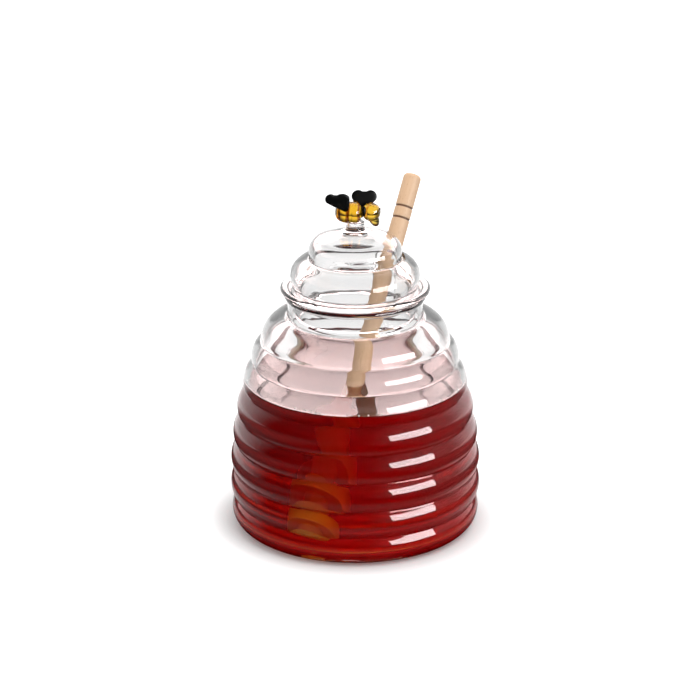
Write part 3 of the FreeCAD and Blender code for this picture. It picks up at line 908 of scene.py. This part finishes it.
jar = make_jar()
polished = clear_glass("clear_borosilicate_fire_polished", GLASS_IOR, JAR_WAVE)
dress(jar, polished, ["jar"])
jar.data.materials.append(clear_glass("clear_borosilicate_against_honey", GLASS_IOR / HONEY_IOR))
under_honey = mark_faces(jar, "wetted", wetted)
jar.data.polygons.foreach_set("material_index", under_honey.astype(np.int32))
blown = clear_glass("clear_borosilicate_hand_blown", GLASS_IOR, LID_WAVE)
dress(make_lid(), blown, ["lid"])
dress(make_honey(), red_honey(), ["honey"])
dress(make_bubbles(), bubble_painted_shine())
dress(make_dipper(), bare_beech(), ["dipper"])
black = black_glass()
dress(make_bee_body(), amber_glass(), ["bee_body"])
dress(make_bee_collar(), black, ["bee_collar"])
dress(make_wing("wing_left_black", *LEFT_WING), black, ["wing_left"])
dress(make_wing("wing_right_black", *RIGHT_WING), black, ["wing_right"])


# --- studio ---
FLOOR_HALF = 3.0              # metres
FLOOR_DROP = 0.2              # how far the floor lies under the jar, in millimetres

# Light that rays find on the floor. Each fade goes from one level to another between two distances in
# metres: from the jar's axis, to the sides of it, or back from it.
CAMERA_GLOW_PAINTED_SHADOW = (0.050, 0.067, 0.02, 0.48)    # glow that lifts the lit floor to white for the camera, held back near the foot: a painted shadow round the jar, added to its real shadow
# Painted shadow: the floor is dark round the jar's foot where seen through the glass.
FOOT_PAINTED_SHADOW_THROUGH_GLASS = (0.056, 0.115, 0.03, 1.0)
SIDES_THROUGH_GLASS = (0.075, 0.24, 1.0, 0.12)
BACK_THROUGH_GLASS = (0.45, 1.2, 1.0, 0.3)
INSIDE_MIRRORED = 0.45        # level after a reflection inside the glass
NEAR_MIRRORED = (0.075, 0.100, 1.0, 0.0)        # levels after a reflection off the outside
NEAR_FRONT_MIRRORED = (-0.06, 0.02, 0.25, 0.8)
SIDES_MIRRORED = (0.06, 0.15, 0.0, 0.2)
# Painted shadow: the floor is dark round the jar's foot where mirrored in the outside.
FOOT_PAINTED_SHADOW_MIRRORED = (0.050, 0.064, 0.0, 1.0)
BACK_MIRRORED = (0.08, 0.20, 0.0, 1.7)
FLOOR_TO_DIFFUSE = 0.5

# Light that rays find in the backdrop. The fades run over the components of a direction: its size to
# the sides, or its part to the right, back or up.
BACKDROP = 1.0
WALLS_THROUGH_GLASS = (0.15, 0.45, 1.0, 0.2)
ROOF_THROUGH_GLASS = (0.0, 0.45, 1.0, 0.2)
ROOM_THROUGH_GLASS = (-0.5, 0.6, 0.2, 1.12)
ROOM_INSIDE = (-0.5, 0.5, 1.2, 4.9)
ROOF_INSIDE = (0.46, 0.62, 1.0, 0.10)
HORIZON_INSIDE = (0.06, 0.20, 0.08, 1.0)
BEHIND_MIRRORED = (-0.1, 0.7, 0.0, 1.6)
RIGHT_MIRRORED = (0.1, 0.9, 0.0, 0.6)
ROOF_MIRRORED = (0.1, 0.8, 0.01, 0.05)
BACKDROP_TO_DIFFUSE = 0.95

CAMERA_HEIGHT = 0.060         # height in metres of the point that the camera looks at
CAMERA_ELEVATION = math.radians(20.96)
CAMERA_DISTANCE = 1.1
SENSOR_WIDTH = 36.0
FOCAL_LENGTH = 136.9
CAMERA_SHIFT = (-0.0074, 0.0489)


def seen(tree, levels):
    """Strength of light for each kind of ray: the sum of each flag times its level."""
    total = 0.0
    for flag, level in levels:
        total = maths(tree, "ADD", times(tree, flag, level), total)
    return total


def ray_flags(tree):
    """Flags that share out a ray: from the camera, after a diffuse bounce, mirrored off an outside,
    mirrored inside, or straight through glass.
    """
    path = add(tree, "ShaderNodeLightPath").outputs
    diffuse = maths(tree, "GREATER_THAN", path["Diffuse Depth"], 0.5)
    fresh = maths(tree, "SUBTRACT", 1.0, diffuse)
    through_glass = times(tree, path["Is Transmission Ray"], fresh)
    inside = times(tree, through_glass, maths(tree, "GREATER_THAN", path["Glossy Depth"], 0.5))
    straight = maths(tree, "SUBTRACT", through_glass, inside)
    outside = times(tree, path["Is Glossy Ray"], maths(tree, "SUBTRACT", fresh, through_glass))
    return path["Is Camera Ray"], diffuse, outside, inside, straight


def make_floor():
    """White floor that keeps the jar's shadow for the camera and adds a painted shadow round the foot, and
    gives every other ray a set level, with painted shadow round the foot through and in the glass.
    """
    mesh = bpy.data.meshes.new("floor")
    corners = [(x * FLOOR_HALF, y * FLOOR_HALF, -FLOOR_DROP * MM)
               for x, y in ((-1, -1), (1, -1), (1, 1), (-1, 1))]
    mesh.from_pydata(corners, [], [(0, 1, 2, 3)])
    floor = place_piece("floor", mesh)
    material, tree = new_material("white_floor")
    camera, diffuse, outside, inside, straight = ray_flags(tree)
    place = object_place(tree)
    away = add(tree, "ShaderNodeVectorMath", {"operation": "LENGTH"}, {0: place}).outputs["Value"]
    split = add(tree, "ShaderNodeSeparateXYZ", {}, {0: place}).outputs
    aside, back = maths(tree, "ABSOLUTE", split[0]), split[1]
    # Painted shadow round the foot, for rays through the glass and mirrored inside it.
    foot = fade(tree, away, *FOOT_PAINTED_SHADOW_THROUGH_GLASS)
    table = times(tree, fade(tree, aside, *SIDES_THROUGH_GLASS), fade(tree, back, *BACK_THROUGH_GLASS))
    near = times(tree, fade(tree, away, *NEAR_MIRRORED), fade(tree, back, *NEAR_FRONT_MIRRORED))
    near = largest(tree, near, fade(tree, aside, *SIDES_MIRRORED))
    # Painted shadow round the foot in the floor's reflection off the outside.
    near = times(tree, near, fade(tree, away, *FOOT_PAINTED_SHADOW_MIRRORED))
    mirrored = largest(tree, near, fade(tree, back, *BACK_MIRRORED))
    # For the camera, the glow that whitens the floor is held back near the foot: painted shadow.
    strength = seen(tree, [
        (camera, fade(tree, away, *CAMERA_GLOW_PAINTED_SHADOW)), (diffuse, FLOOR_TO_DIFFUSE), (outside, mirrored),
        (inside, times(tree, foot, INSIDE_MIRRORED)), (straight, times(tree, foot, table))])
    matt = add(tree, "ShaderNodeBsdfDiffuse", {}, {"Color": linear("#F3F3F3")}).outputs[0]
    glow = add(tree, "ShaderNodeEmission", {}, {"Strength": strength}).outputs[0]
    lit = add(tree, "ShaderNodeAddShader", {}, {0: matt, 1: glow}).outputs[0]
    mesh.materials.append(finish_material(material, mix_shaders(tree, camera, glow, lit)))


def softbox(name, azimuth, elevation, distance, width, height, strength, rays):
    """Area lamp on a sphere round the jar; azimuth 0 is the viewer's side and 90 the right."""
    lamp = bpy.data.lights.new(name, "AREA")
    lamp.shape = "RECTANGLE"
    lamp.size, lamp.size_y = width, height
    lamp.energy = strength * width * height * math.pi
    a, e = math.radians(azimuth), math.radians(elevation)
    place = bpy.data.objects.new(name, lamp)
    toward = np.array([math.sin(a) * math.cos(e), -math.cos(a) * math.cos(e), math.sin(e)])
    place.location = (toward * distance + [0, 0, CAMERA_HEIGHT]).tolist()
    place.rotation_euler = Vector(toward.tolist()).to_track_quat("Z", "Y").to_euler()
    place.visible_camera = False
    place.visible_diffuse = "diffuse" in rays
    place.visible_glossy = "glossy" in rays
    place.visible_transmission = "transmission" in rays
    bpy.context.scene.collection.objects.link(place)


def make_world():
    """White backdrop for the camera. In and through glass it stands for a lit sweep behind the jar between
    dark cards at the sides, above and at the viewer's back.
    """
    world = bpy.data.worlds.new("studio")
    world.use_nodes = True
    tree = world.node_tree
    tree.nodes.clear()
    camera, diffuse, outside, inside, straight = ray_flags(tree)
    aim = add(tree, "ShaderNodeTexCoord").outputs["Generated"]
    right, back, up = add(tree, "ShaderNodeSeparateXYZ", {}, {0: aim}).outputs
    walls = fade(tree, maths(tree, "ABSOLUTE", right), *WALLS_THROUGH_GLASS)
    roof = fade(tree, up, *ROOF_THROUGH_GLASS)
    direct = times(tree, walls, times(tree, roof, fade(tree, back, *ROOM_THROUGH_GLASS)))
    within = times(tree, fade(tree, up, *ROOF_INSIDE), fade(tree, back, *ROOM_INSIDE))
    within = times(tree, within, fade(tree, up, *HORIZON_INSIDE))
    mirrored = largest(tree, fade(tree, back, *BEHIND_MIRRORED), fade(tree, right, *RIGHT_MIRRORED))
    mirrored = largest(tree, mirrored, fade(tree, up, *ROOF_MIRRORED))
    strength = seen(tree, [(camera, BACKDROP), (diffuse, BACKDROP_TO_DIFFUSE), (outside, mirrored),
                           (inside, within), (straight, direct)])
    tint = mix_colours(tree, inside, linear("#FFFFFF"), linear("#FFE8E6"))
    sky = add(tree, "ShaderNodeBackground", {}, {"Color": tint, "Strength": strength}).outputs[0]
    add(tree, "ShaderNodeOutputWorld", {}, {"Surface": sky})
    bpy.context.scene.world = world


def make_camera():
    """Long lens that looks down on the jar from the viewer's side."""
    data = bpy.data.cameras.new("camera")
    data.sensor_width = SENSOR_WIDTH
    data.lens = FOCAL_LENGTH
    data.shift_x, data.shift_y = CAMERA_SHIFT
    camera = bpy.data.objects.new("camera", data)
    back = np.array([0.0, -math.cos(CAMERA_ELEVATION), math.sin(CAMERA_ELEVATION)])
    camera.location = (np.array([0.0, 0.0, CAMERA_HEIGHT]) + CAMERA_DISTANCE * back).tolist()
    camera.rotation_euler = (math.pi / 2 - CAMERA_ELEVATION, 0.0, 0.0)
    bpy.context.scene.collection.objects.link(camera)
    bpy.context.scene.camera = camera


make_floor()
make_world()
softbox("key_softbox", azimuth=54, elevation=12, distance=1.0, width=0.8, height=0.46, strength=17.0,
        rays=["glossy"])
softbox("top_light", azimuth=35, elevation=60, distance=1.2, width=0.7, height=0.7, strength=3.0,
        rays=["diffuse"])
make_camera()
bpy.context.scene.view_settings.view_transform = "Standard"
